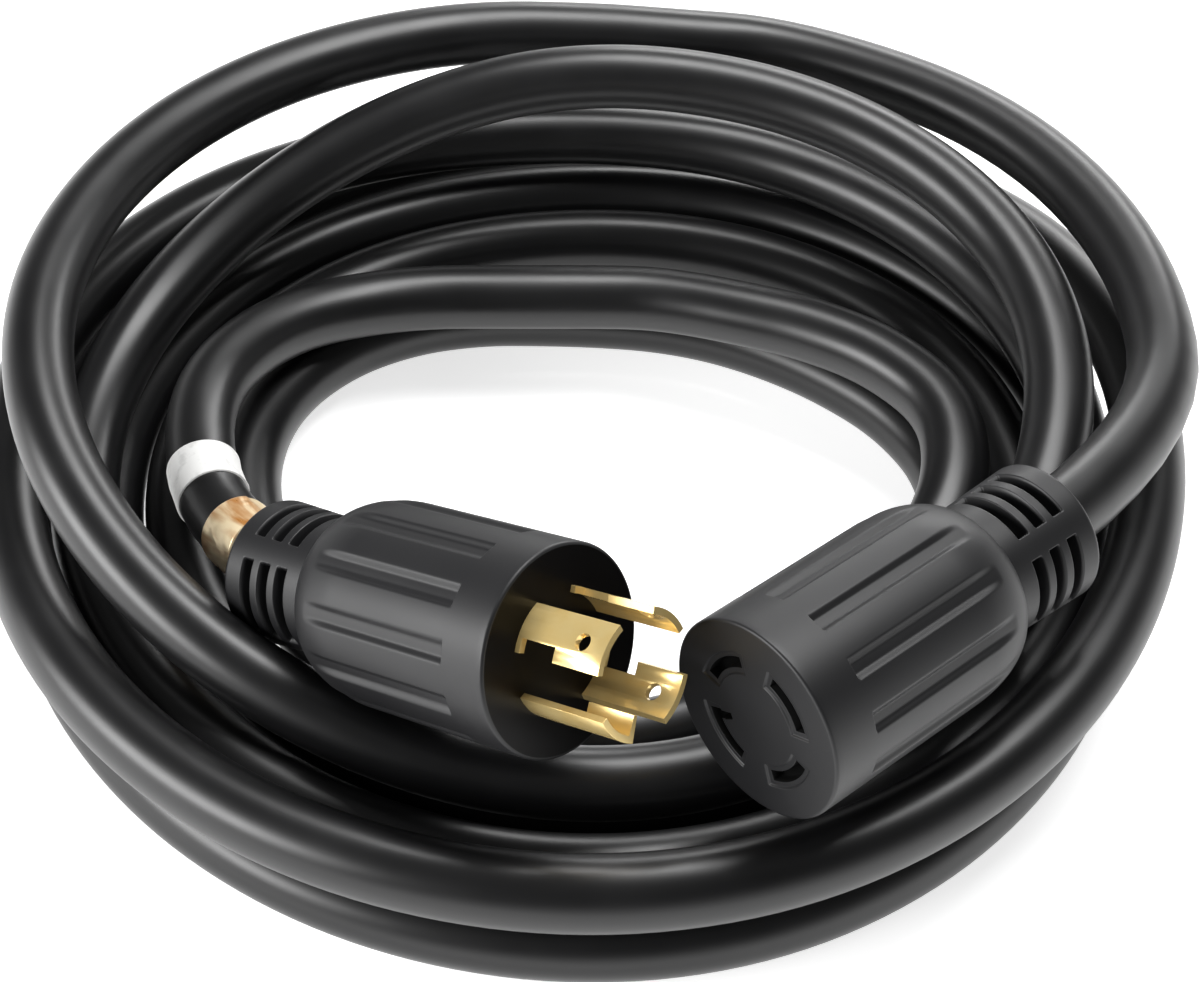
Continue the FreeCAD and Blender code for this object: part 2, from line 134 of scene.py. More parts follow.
def skin(name, rings, materials, zone=None):
    """Closed mesh over rings (ring, point, xyz) in millimetres; zone picks the material of each quad."""
    count, around, _ = rings.shape
    points = rings.reshape(-1, 3)
    index = np.arange(count * around).reshape(count, around)
    right = np.roll(index, -1, axis=1)
    quads = np.stack([index[:-1], right[:-1], right[1:], index[1:]], -1).reshape(-1, 4)
    v, u = np.meshgrid(np.arange(count - 1), np.arange(around), indexing="ij")
    corners = ((0, 0), (1, 0), (1, 1), (0, 1))
    grid = [np.stack([(u + i) / around, (v + j) / (count - 1)], -1) for i, j in corners]
    quad_uv = np.stack(grid, 2).reshape(-1, 4, 2)
    first_fan = np.stack([right[0], index[0], np.full(around, len(points))], -1)
    last_fan = np.stack([index[-1], right[-1], np.full(around, len(points) + 1)], -1)
    fans = np.vstack([first_fan, last_fan])
    if signed_volume(points, quads) < 0:
        quads, quad_uv, fans = quads[:, ::-1], quad_uv[:, ::-1], fans[:, ::-1]
    points = np.vstack([points, rings[0].mean(0), rings[-1].mean(0)])
    mesh = bpy.data.meshes.new(name)
    mesh.from_pydata(points * MM, [], quads.tolist() + fans.tolist())
    mesh.polygons.foreach_set("use_smooth", np.ones(len(quads) + len(fans), bool))
    uv = mesh.uv_layers.new(name="wrap")
    uv.data.foreach_set("uv", np.concatenate([quad_uv.ravel(), np.zeros(fans.size * 2)]))
    for material in materials:
        mesh.materials.append(material)
    if zone is not None:
        fan_zones = np.repeat([zone[0, 0], zone[-1, 0]], around)
        zones = np.concatenate([zone.ravel(), fan_zones]).astype(np.int32)
        mesh.polygons.foreach_set("material_index", zones)
    piece = bpy.data.objects.new(name, mesh)
    bpy.context.scene.collection.objects.link(piece)
    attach(piece, "root")
    print(name, "vertices", len(points))
    return piece


# %% [markdown]
# ## The route of the cord
#
# The cord is about 18 mm thick and stiff, so it springs open into wide loose turns. Each turn is
# described by the reach and the height of the cord's middle at the back, the left, the front and
# the right. Between those stations both change smoothly. The whole route, from the connector
# through every turn to the plug, is one NURBS curve. The mouldings that dress the two bodies end
# sooner than the solids that hold their place, so each shell has a length of its own.

# %% Sizes of the route
CORD_D = 18.0
FLOOR_Z = 8.5
TURNS = [
    [(133.0, 57.0), (144.0, 68.0), (119.5, 26.5), (119.5, 52.5)],
    [(98.5, 67.5), (136.0, 27.5), (144.0, 25.5), (127.0, 26.5)],
    [(120.0, 29.0), (155.5, 33.0), (158.0, 38.0), (143.5, 38.0)],
    [(140.0, 9.5), (152.0, FLOOR_Z), (152.0, FLOOR_Z), (133.0, FLOOR_Z)],
    [(116.5, FLOOR_Z), (133.5, FLOOR_Z), (133.5, FLOOR_Z), (113.5, FLOOR_Z)],
    [(95.5, FLOOR_Z), (115.0, FLOOR_Z), (115.0, FLOOR_Z), (94.5, FLOOR_Z)],
    [(61.0, FLOOR_Z), (96.0, 12.5), (93.0, FLOOR_Z), (93.0, 32.0)],
    [(50.0, 27.0)],
]
# Reaches of the five points between two stations, by the number of the quarter they lie in, listed
# where the inner turns cut across the oval's right end
HAND_SET = {
    22: [113.9, 111.1, 107.1, 102.6, 98.1],
    23: [85.0, 75.0, 68.0, 63.8, 61.4],
    26: [91.8, 91.0, 91.6, 95.0, 96.4],
    27: [79.5, 66.0, 56.5, 52.3, 50.5],
}
CONNECTOR_TAIL = np.array([(146.0, 28.0, 61.0), (115.5, 88.5, 59.5)])
PLUG_TAIL = np.array([(-92.0, 32.0, 33.0), (-109.5, -4.0, 37.0)])
PLUG_FACE = np.array([-8.5, -125.4, 83.2])
PLUG_AXIS = np.array([0.738, -0.568, 0.364])
PLUG_TURN = 28.0
CONNECTOR_FACE = np.array([33.5, -139.1, 76.5])
CONNECTOR_AXIS = np.array([-0.746, -0.66, 0.086])
CONNECTOR_TURN = 55.0
BODY_D = 49.0
NECK_D = 33.0
PLUG_BODY_L = 76.0
CONNECTOR_BODY_L = 90.0
SLEEVE_L = 27.0
REAR_WALL = 9.0
PLUG_SHELL_L = 67.0
CONNECTOR_SHELL_L = 68.0
PLUG_BEND = 12.0
CONNECTOR_BEND = 29.0
APPROACH_L = 40.0
POINTS_PER_QUARTER = 6
STEPS_PER_POINT = 8


def unit(v):
    """Direction of a vector."""
    v = np.asarray(v, float)
    return v / np.linalg.norm(v)


def body_frame(face, axis, turn):
    """Place and axes (as columns) of a body whose face points along an axis, turned about it."""
    z = unit(axis)
    y = unit(np.array([0, 0, 1.0]) - z * z[2])
    x = np.cross(y, z)
    c, s = math.cos(math.radians(turn)), math.sin(math.radians(turn))
    return COIL_MIDDLE + face, np.stack([x * c + y * s, y * c - x * s, z], -1)


def placed(points, body):
    """Points given in a body's own axes, in the frame of the whole object."""
    place, axes = body
    return place + np.asarray(points) @ axes.T


def station_slopes(values):
    """Slope at each station of a curve that never overshoots its stations and ends level."""
    d = np.diff(values)
    same = d[:-1] * d[1:] > 0
    mean = 2 * d[:-1] * d[1:] / np.where(same, d[:-1] + d[1:], 1)
    return np.concatenate([d[:1], np.where(same, mean, 0), [0.0]])


def between(values, slopes, steps):
    """Values on the cubic curve with these slopes, a number of steps for each station."""
    t = (np.arange(steps) / steps)[None, :]
    parts = (2 * t**3 - 3 * t**2 + 1) * values[:-1, None] + (t**3 - 2 * t**2 + t) * slopes[:-1, None]
    parts = parts + (3 * t**2 - 2 * t**3) * values[1:, None] + (t**3 - t**2) * slopes[1:, None]
    return np.append(parts.ravel(), values[-1])


plug = body_frame(PLUG_FACE, PLUG_AXIS, PLUG_TURN)
connector = body_frame(CONNECTOR_FACE, CONNECTOR_AXIS, CONNECTOR_TURN)

# %% [markdown]
# ## Control points of the route
#
# Six points for each quarter of a turn hold the coil's shape. A quadratic spline runs a little
# inside its control points, by the cosine of half a step, so the points stand out by as much. At
# both ends the cord leaves the coil straight, bends once or twice and enters a body on its axis.

# %% Control points and the spline
stations = np.array([station for row in TURNS for station in row])
reach_slope, height_slope = station_slopes(stations[:, 0]), station_slopes(stations[:, 1])
reach = between(stations[:, 0], reach_slope, POINTS_PER_QUARTER)
height = between(stations[:, 1], height_slope, POINTS_PER_QUARTER)
for quarter, reaches in HAND_SET.items():
    first = quarter * POINTS_PER_QUARTER + 1
    reach[first:first + len(reaches)] = reaches
angle = math.pi / 2 + np.arange(len(reach)) * (math.pi / 2 / POINTS_PER_QUARTER)
stand_out = np.full(len(reach), 1 / math.cos(math.pi / 4 / POINTS_PER_QUARTER))
stand_out[[0, -1]] = 1.0
coil_points = np.stack([reach * stand_out * np.cos(angle), reach * stand_out * np.sin(angle), height], -1)
per_radian = 2 / math.pi
first_heading = unit([-stations[0, 0], reach_slope[0] * per_radian, height_slope[0] * per_radian])
last_heading = np.array([-1.0, 0.0, 0.0])
ways_in = coil_points[0] - first_heading * np.array([[CORD_D + APPROACH_L], [CORD_D]])
ways_out = coil_points[-1] + last_heading * np.array([[CORD_D], [CORD_D + APPROACH_L]])
middle_points = np.vstack([CONNECTOR_TAIL, ways_in, coil_points, ways_out, PLUG_TAIL]) + COIL_MIDDLE
connector_in = placed([0, 0, -(CONNECTOR_BODY_L - REAR_WALL)], connector)
connector_out = placed([0, 0, -(CONNECTOR_BODY_L + SLEEVE_L + CONNECTOR_BEND)], connector)
plug_in = placed([0, 0, -(PLUG_BODY_L - REAR_WALL)], plug)
plug_out = placed([0, 0, -(PLUG_BODY_L + SLEEVE_L + PLUG_BEND)], plug)
route = np.vstack([connector_in, connector_out, middle_points, plug_out, plug_in])

cord_curve = bpy.data.curves.new("cord_route", "CURVE")
cord_curve.dimensions = "3D"
cord_curve.resolution_u = STEPS_PER_POINT
line = cord_curve.splines.new("NURBS")
line.points.add(len(route) - 1)
line.points.foreach_set("co", np.c_[route * MM, np.ones(len(route))].ravel())
line.order_u = 3
line.use_endpoint_u = True
route_object = bpy.data.objects.new("cord_route", cord_curve)
bpy.context.scene.collection.objects.link(route_object)
route_mesh = bpy.data.meshes.new_from_object(route_object)
path = np.empty(len(route_mesh.vertices) * 3)
route_mesh.vertices.foreach_get("co", path)
path = path.reshape(-1, 3) / MM
bpy.data.objects.remove(route_object)
bpy.data.meshes.remove(route_mesh)
along = np.concatenate([[0], np.cumsum(np.linalg.norm(np.diff(path, axis=0), axis=1))])
CORD_LENGTH = along[-1]
print("cord length %.0f mm over %d points" % (CORD_LENGTH, len(path)))

# %% [markdown]
# ## The jacket
#
# A cord like this is a bundle of four insulated conductors in an extruded jacket of flexible PVC.
# It leaves the die smooth, with a soft gloss: black, a long highlight along the top of each turn
# and a thin bright line below, where the pale floor shines back. Very faint lines run along it
# where the die dragged, and handling leaves the gloss a little uneven. The lines follow the cord,
# so they are drawn on its UV map, much longer than they are wide.

# %% Jacket material
CORD_AROUND_MM = math.pi * CORD_D
DIE_LINE_W = 1.2
DIE_LINE_L = 150.0


def jacket_material():
    """Extruded flexible PVC: black, soft gloss, faint die lines and uneven gloss from handling."""
    material, tree, shader = new_material("extruded_pvc_jacket")
    set_shader(shader, IOR=1.53)
    place = add(tree, "ShaderNodeTexCoord")
    wrap = add(tree, "ShaderNodeUVMap", {"uv_map": "wrap"})
    broad = add(tree, "ShaderNodeTexNoise", values={"Scale": 1 / (16 * MM), "Detail": 3.0},
                links={"Vector": place.outputs["Object"]})
    # Die lines: stretched noise, far longer along the cord than they are wide
    stretched = add(tree, "ShaderNodeVectorMath", {"operation": "MULTIPLY"}, links={0: wrap.outputs["UV"]})
    stretched.inputs[1].default_value = (CORD_AROUND_MM / DIE_LINE_W, CORD_LENGTH / DIE_LINE_L, 1.0)
    lines = add(tree, "ShaderNodeTexNoise", values={"Scale": 1.0, "Detail": 2.0},
                links={"Vector": stretched.outputs["Vector"]})
    tint = add(tree, "ShaderNodeMix", {"data_type": "RGBA"}, links={"Factor": broad.outputs["Fac"]})
    tint.inputs["A"].default_value = linear("0A0A0B")
    tint.inputs["B"].default_value = linear("121213")
    tree.links.new(tint.outputs["Result"], shader.inputs["Base Color"])
    gloss = add(tree, "ShaderNodeMapRange", values={"To Min": 0.31, "To Max": 0.40},
                links={"Value": broad.outputs["Fac"]})
    tree.links.new(gloss.outputs["Result"], shader.inputs["Roughness"])
    bump = add(tree, "ShaderNodeBump", values={"Strength": 0.10, "Distance": 0.06 * MM},
               links={"Height": lines.outputs["Fac"]})
    tree.links.new(bump.outputs["Normal"], shader.inputs["Normal"])
    return material


jacket = jacket_material()
print("material", jacket.name)

# %% [markdown]
# ## The tube along the route
#
# The jacket is a tube of rings carried along the route. The rings must not twist, so each one takes
# its sideways direction from the one before, turned only as much as the route turns. Where the cord
# lies on the floor it flattens by a fraction of a millimetre.

# %% Sweep a ring along the path
def path_axes(points):
    """Two sideways directions at every point of a path, carried along it without twist."""
    heading = np.gradient(points, axis=0)
    heading = heading / np.linalg.norm(heading, axis=1)[:, None]
    side = np.cross(heading[0], [0, 0, 1.0])
    sides = []
    for h in heading:
        side = side - h * (side @ h)
        side = side / np.linalg.norm(side)
        sides.append(side)
    sides = np.array(sides)
    return sides, np.cross(heading, sides)


def tube_rings(centres, side, up, radius):
    """Rings of a tube: centre plus radius, given by (ring, point), times (cosine side + sine up)."""
    turn = np.arange(radius.shape[1]) * (2 * math.pi / radius.shape[1])
    ring = np.cos(turn)[None, :, None] * side[:, None] + np.sin(turn)[None, :, None] * up[:, None]
    return centres[:, None] + radius[..., None] * ring


RING_POINTS = 44
FLOOR_TOUCH = 0.05
sides, ups = path_axes(path)
cord_rings = tube_rings(path, sides, ups, np.full((len(path), RING_POINTS), CORD_D / 2))
cord_rings[..., 2] = np.maximum(cord_rings[..., 2], FLOOR_TOUCH)
cord = skin("power_cord", cord_rings, [jacket])
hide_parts("cord_coil", "cord_plug_tail", "cord_connector_tail")

# %% Measure the least distance between turns
# Points nearer than this along the cord are neighbours and not another turn
SAME_TURN = 2 * math.pi * CORD_D
coarse, coarse_along = path[::4], along[::4]
distance = np.linalg.norm(coarse[:, None] - coarse[None], axis=-1)
distance[np.abs(coarse_along[:, None] - coarse_along[None]) < SAME_TURN] = np.inf
closest = np.unravel_index(distance.argmin(), distance.shape)
print("least distance between turns %.2f mm at" % distance.min(), coarse[closest[0]].round())

# %% [markdown]
# ## The moulded bodies
#
# The plug and the connector are moulded in one shot of soft black PVC over a rigid insert. Each has
# a straight grip with twelve shallow flutes that a hand can turn, a rounded shoulder and a flat
# face. The surface is a revolved profile, and the flutes and the slots are pressed into it by
# functions of angle, radius and length. The plug's face is the hard insert itself, blacker than the
# soft PVC round it. In the connector's slots the walls below a small depth get a near-black dull
# material: painted shade for the dark of the cavity.

# %% Body material
def moulded_material(name, colour, dull, shine=0.5):
    """Soft PVC out of a spark-eroded mould: dark grey-black, satin, with a very fine grain."""
    material, tree, shader = new_material(name)
    set_shader(shader, IOR=1.50, Base_Color=linear(colour), Specular_IOR_Level=shine)
    place = add(tree, "ShaderNodeTexCoord")
    # Spark erosion leaves pits of about 0.3 mm, drawn here at 0.5 mm so that they show
    grain = add(tree, "ShaderNodeTexNoise", values={"Scale": 1 / (0.5 * MM), "Detail": 3.0},
                links={"Vector": place.outputs["Object"]})
    broad = add(tree, "ShaderNodeTexNoise", values={"Scale": 1 / (18 * MM), "Detail": 2.0},
                links={"Vector": place.outputs["Object"]})
    gloss = add(tree, "ShaderNodeMapRange", values={"To Min": dull - 0.05, "To Max": dull + 0.05},
                links={"Value": broad.outputs["Fac"]})
    tree.links.new(gloss.outputs["Result"], shader.inputs["Roughness"])
    bump = add(tree, "ShaderNodeBump", values={"Strength": 0.16, "Distance": 0.06 * MM},
               links={"Height": grain.outputs["Fac"]})
    tree.links.new(bump.outputs["Normal"], shader.inputs["Normal"])
    return material


moulded = moulded_material("moulded_satin_pvc", "131315", 0.45)
insert_face = moulded_material("moulded_insert_face", "0A0909", 0.30, 0.15)
# Near-black and dull: painted shade for the dark inside the connector's slots
painted_slot_shade = moulded_material("painted_shade_in_slots", "040404", 0.80, 0.1)
print("materials", moulded.name, insert_face.name, painted_slot_shade.name)

# %% [markdown]
# ## Profile, flutes and slots
#
# The profile runs from the middle of the face over a small rounded rim, along the grip and down the
# shoulder, a quarter of an ellipse. A flute has soft sides, starts square behind the face and runs
# out where the shoulder drops below its floor. In the face of the connector four curved slots
# take the blades. Each lies in a shallow recess, and the ground slot has a foot that points inwards.

# %% Sizes of the bodies
EDGE_R = 0.8
NECK_L = 18.0
FLUTES = 12
FLUTE_W = 4.0
FLUTE_DEPTH = 1.1
FLUTE_START = 12.5
FLUTE_SIDE = 1.9
FLUTE_END = 0.5
BLADE_R = 14.0
BLADE_T = 1.6
BLADE_W = 11.5
FOOT_L = 4.5
FIT = 0.45
SURROUND_W = 1.4
SURROUND_DEPTH = 0.5
SLOT_DEEP = 3.4
SLOT_EDGE = 0.22
# Slot walls deeper than this below the face get the painted shade
PAINTED_SHADE_DEPTH = 0.7
SLOT_REACH = (6.6, 17.4)
SLOT_STEP = 0.16
FLUTE_STEP_L = 0.6
SLOT_ANGLES = {"neutral": 0.0, "hot_x": 270.0, "ground": 180.0, "hot_y": 90.0}


def soft_step(value, edge):
    """Zero below, one above, with a smooth rise that is one edge wide round zero."""
    t = np.clip(value / edge + 0.5, 0, 1)
    return t * t * (3 - 2 * t)


def ring_sector(radius, theta, inner, outer, middle, half):
    """One inside a piece of a ring between two radii, half an angle to each side, and zero outside."""
    aside = np.abs((theta - middle + math.pi) % (2 * math.pi) - math.pi)
    radial = soft_step(radius - inner, SLOT_EDGE) * soft_step(outer - radius, SLOT_EDGE)
    return radial * soft_step((half - aside) * BLADE_R, SLOT_EDGE)


def slot_depths(radius, theta):
    """Depth of the connector's face below its plane: recesses, slots and the ground slot's foot."""
    depth = np.zeros(np.broadcast(radius, theta).shape)
    inner, outer = BLADE_R - BLADE_T / 2 - FIT, BLADE_R + BLADE_T / 2 + FIT
    half = (BLADE_W / 2 + FIT) / BLADE_R
    wide = half + SURROUND_W / BLADE_R
    for pole, degrees in SLOT_ANGLES.items():
        middle = math.radians(degrees)
        recess = ring_sector(radius, theta, inner - SURROUND_W, outer + SURROUND_W, middle, wide)
        slot = ring_sector(radius, theta, inner, outer, middle, half)
        if pole == "ground":
            foot_half = (BLADE_T / 2 + FIT) / BLADE_R
            foot_middle = middle - (BLADE_W - BLADE_T) / 2 / BLADE_R
            foot = ring_sector(radius, theta, inner - FOOT_L, outer, foot_middle, foot_half)
            slot = np.maximum(slot, foot)
        depth = np.maximum(depth, np.maximum(recess * SURROUND_DEPTH, slot * SLOT_DEEP))
    return depth


def arc(centre, radii, start, end, count):
    """Points of an elliptical arc in the plane of radius and height, angles in degrees."""
    a = np.radians(np.linspace(start, end, count))
    return np.stack([centre[0] + radii[0] * np.cos(a), centre[1] + radii[1] * np.sin(a)], -1)


def body_profile(length, face_radii):
    """Radius and height from the middle of the face over the grip to the end of the shoulder."""
    radius = BODY_D / 2
    neck = NECK_D / 2
    face = np.stack([face_radii, np.zeros(len(face_radii))], -1)
    rim = arc((radius - EDGE_R, -EDGE_R), (EDGE_R, EDGE_R), 90, 0, 8)
    shoulder = -(length - NECK_L)
    # Rings stand close where the flutes begin, and wide apart before and after
    before = np.linspace(-EDGE_R - 1.5, -FLUTE_START + 1.0, 5)
    step = np.linspace(-FLUTE_START + FLUTE_STEP_L, -FLUTE_START - FLUTE_STEP_L, 11)
    rest = np.linspace(-FLUTE_START - 1.5, shoulder, 14)
    grip_z = np.concatenate([before, step, rest])
    grip = np.stack([np.full(len(grip_z), radius), grip_z], -1)
    dome = arc((neck, shoulder), (radius - neck, NECK_L), 0, -90, 34)[1:]
    return np.vstack([face, rim, grip, dome])


def body_rings(length, around, face_radii, depths=None):
    """Rings of a body in its own axes: the revolved profile less the flutes and the slots."""
    profile = body_profile(length, face_radii)
    theta = (np.arange(around) * (2 * math.pi / around))[None, :]
    r = np.repeat(profile[:, :1], around, 1)
    z = np.repeat(profile[:, 1:], around, 1)
    pitch = 2 * math.pi / FLUTES
    across = ((theta + pitch / 2) % pitch - pitch / 2) * BODY_D / 2
    inside = soft_step(FLUTE_W / 2 - np.abs(across), FLUTE_SIDE)
    behind = soft_step(-FLUTE_START - z, FLUTE_END)
    r = r - np.maximum(r - (BODY_D / 2 - FLUTE_DEPTH), 0) * inside * behind
    if depths is not None:
        n = len(face_radii)
        z[:n] = -depths(r[:n], theta)
    return np.stack([r * np.cos(theta), r * np.sin(theta), z], -1)


# %% The plug's body
PLUG_AROUND = 480
CONNECTOR_AROUND = 600
face_end = BODY_D / 2 - EDGE_R
edge_rings = face_end - np.array([0.3, 0.1])
plain_face = np.concatenate([np.linspace(0.5, face_end - 1, 8), edge_rings])
plug_local = body_rings(PLUG_SHELL_L, PLUG_AROUND, plain_face)
on_face = np.arange(len(plug_local) - 1) < len(plain_face)
plug_zone = np.repeat(on_face[:, None], plug_local.shape[1], 1)
plug_rings = placed(plug_local, plug)
plug_body = skin("plug_moulding", plug_rings, [moulded, insert_face], plug_zone)
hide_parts("plug_body")

# %% The connector's body
inside_slots = np.linspace(0.5, 6.4, 4)
over_slots = np.arange(SLOT_REACH[0], SLOT_REACH[1], SLOT_STEP)
slot_face = np.concatenate([inside_slots, over_slots, [18.0, 20.0, 22.5], edge_rings])
connector_local = body_rings(CONNECTOR_SHELL_L, CONNECTOR_AROUND, slot_face, slot_depths)
# Slot faces below that depth get the near-black painted shade in place of the cavity's dark
under_shade_line = connector_local[:, :, 2] < -PAINTED_SHADE_DEPTH
under_shade_line = under_shade_line | np.roll(under_shade_line, -1, axis=1)
painted_shade_faces = under_shade_line[:-1] | under_shade_line[1:]
painted_shade_faces[len(slot_face) - 1:] = False
connector_rings = placed(connector_local, connector)
connector_finish_and_shade = [moulded, painted_slot_shade]
connector_body = skin("connector_moulding", connector_rings, connector_finish_and_shade, painted_shade_faces)
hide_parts("connector_body")

# %% [markdown]
# ## The strain reliefs
#
# Behind each body a sleeve holds the cord and bends with it, because rows of slots are cut nearly
# round it. Four solid ribs between the slots carry the pull. A wide rim closes the end.

# %% Slotted sleeves
SLEEVE_END_D = 35.0
RIM_L = 6.0
RIM_ROUND = 1.2
CUT_W = 3.0
CUT_PITCH = 5.8
CUT_DEPTH = 4.5
CUT_ROWS = 3
CUT_COLUMNS = 4
CUT_ARC = 68.0
CUT_TURN = 45.0
CUT_EDGE = 0.5
GRIP_ON_CORD = 0.3
SLEEVE_RINGS = 160
SLEEVE_AROUND = 400


def sleeve_rings(length, around=SLEEVE_AROUND):
    """Rings of a sleeve behind a body of this length: its radius less the depth of the cuts."""
    top = -length
    end = top - SLEEVE_L
    rounding = np.linspace(0, math.pi / 2, 8)
    wall = np.linspace(top, end + RIM_ROUND, SLEEVE_RINGS)
    z_line = np.concatenate([wall, end + RIM_ROUND * (1 - np.sin(rounding[1:]))])
    fade = np.concatenate([np.zeros(SLEEVE_RINGS), 1 - np.cos(rounding[1:])])
    line_r = NECK_D / 2 + (SLEEVE_END_D - NECK_D) / 2 * (top - z_line) / SLEEVE_L - RIM_ROUND * fade
    theta = np.arange(around) * (2 * math.pi / around)
    pitch = 2 * math.pi / CUT_COLUMNS
    across = ((theta - math.radians(CUT_TURN) + pitch / 2) % pitch - pitch / 2) * SLEEVE_END_D / 2
    half = math.radians(CUT_ARC) / 2 * SLEEVE_END_D / 2
    inside = soft_step(half - np.abs(across), CUT_EDGE)[None, :]
    centres = end + RIM_L + CUT_W / 2 + CUT_PITCH * np.arange(CUT_ROWS)
    away = np.abs(z_line[:, None] - centres[None, :]).min(1)
    rows = soft_step(CUT_W / 2 - away, CUT_EDGE)
    r = line_r[:, None] - CUT_DEPTH * inside * rows[:, None]
    z = np.repeat(z_line[:, None], around, 1)
    outside = np.stack([r * np.cos(theta), r * np.sin(theta), z], -1)
    bore = CORD_D / 2 - GRIP_ON_CORD
    circle = np.stack([bore * np.cos(theta), bore * np.sin(theta)], -1)
    lip = np.concatenate([circle, np.full((around, 1), end)], -1)
    start = np.concatenate([circle, np.full((around, 1), top)], -1)
    return np.concatenate([start[None], outside, lip[None]])


plug_relief = placed(sleeve_rings(PLUG_SHELL_L), plug)
plug_sleeve = skin("plug_bend_relief", plug_relief, [moulded])
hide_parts("plug_body", "plug_strain_relief")
connector_relief = placed(sleeve_rings(CONNECTOR_SHELL_L), connector)
connector_sleeve = skin("connector_bend_relief", connector_relief, [moulded])
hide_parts("connector_body", "connector_strain_relief")

# %% [markdown]
# ## The two bands
#
# Near the plug two bands are wrapped round the cord: a plain white one of printed-label film, and
# one of gold foil that has crumpled a little. Each is a strip laid round the cord once, so its end
# makes a small step where it overlaps its beginning. The bands follow the bend of the cord. The
# crumples of the foil are ridges: the sum of folded waves in many directions.

# %% Band shapes
BAND_T = 0.35
OVERLAP_T = 0.3
FOIL_BAND_AT = 9.5
FOIL_BAND_L = 13.0
WHITE_BAND_AT = 38.0
WHITE_BAND_L = 13.5
CRUMPLE_DEPTH = 0.22
BAND_ROWS = 70
BAND_AROUND = 240
# The step at the overlap rises over this many points, and a band's end rings are drawn in by this much
STEP_POINTS = 3
END_ROUND = 0.12
UNDER_JACKET = 0.4
random = np.random.default_rng(7)


def crumple(across, down, waves, shortest, longest):
    """Ridged height from zero to one: folded sine waves of random direction, length and phase."""
    total = np.zeros(np.broadcast(across, down).shape)
    for _ in range(waves):
        direction, phase = random.uniform(0, math.pi), random.uniform(0, 2 * math.pi)
        length = random.uniform(shortest, longest)
        wave = (across * math.cos(direction) + down * math.sin(direction)) * (2 * math.pi / length)
        total += 1 - np.abs(np.sin(wave / 2 + phase))
    return (total - total.min()) / (total.max() - total.min())


def band_rings(begin, length, seam, relief):
    """Rings of a strip wrapped once round the cord, begun a distance behind the plug's sleeve."""
    sleeve_end = PLUG_SHELL_L + SLEEVE_L - (PLUG_BODY_L - REAR_WALL)
    from_plug = sleeve_end + begin + np.linspace(0, length, BAND_ROWS)
    at = CORD_LENGTH - from_plug
    centre = np.stack([np.interp(at, along, path[:, i]) for i in range(3)], -1)
    side = np.stack([np.interp(at, along, sides[:, i]) for i in range(3)], -1)
    up = np.stack([np.interp(at, along, ups[:, i]) for i in range(3)], -1)
    round_once = ((np.arange(BAND_AROUND) / BAND_AROUND - seam) % 1.0)[None, :]
    edge_step = np.clip(round_once * BAND_AROUND / STEP_POINTS, 0, 1)
    radius = CORD_D / 2 + BAND_T + OVERLAP_T * (1 - round_once) * edge_step
    radius = radius + relief(round_once * CORD_AROUND_MM, np.linspace(0, length, BAND_ROWS)[:, None])
    rounding = np.minimum(np.arange(BAND_ROWS), np.arange(BAND_ROWS)[::-1])[:, None]
    radius = radius - END_ROUND * np.clip(1 - rounding / 2, 0, 1)
    hidden = np.full((1, BAND_AROUND), CORD_D / 2 - UNDER_JACKET)
    radius = np.vstack([hidden, radius, hidden])
    closed = [np.concatenate([a[:1], a, a[-1:]]) for a in (centre, side, up)]
    return tube_rings(*closed, radius)


# %% Band materials and bands
STREAK_W = 4.0
STREAK_L = 20.0


def film_material():
    """White label film: smooth, slightly glossy, with faint grey handling marks."""
    material, tree, shader = new_material("white_label_film")
    set_shader(shader, Roughness=0.38)
    place = add(tree, "ShaderNodeTexCoord")
    smudge = add(tree, "ShaderNodeTexNoise", links={"Vector": place.outputs["Object"]},
                 values={"Scale": 1 / (5 * MM), "Detail": 5.0, "Roughness": 0.6})
    ramp = add(tree, "ShaderNodeValToRGB", links={"Fac": smudge.outputs["Fac"]})
    ramp.color_ramp.elements[0].position = 0.30
    ramp.color_ramp.elements[0].color = linear("DADAD8")
    ramp.color_ramp.elements[1].position = 0.46
    ramp.color_ramp.elements[1].color = linear("F4F4F2")
    tree.links.new(ramp.outputs["Color"], shader.inputs["Base Color"])
    return material


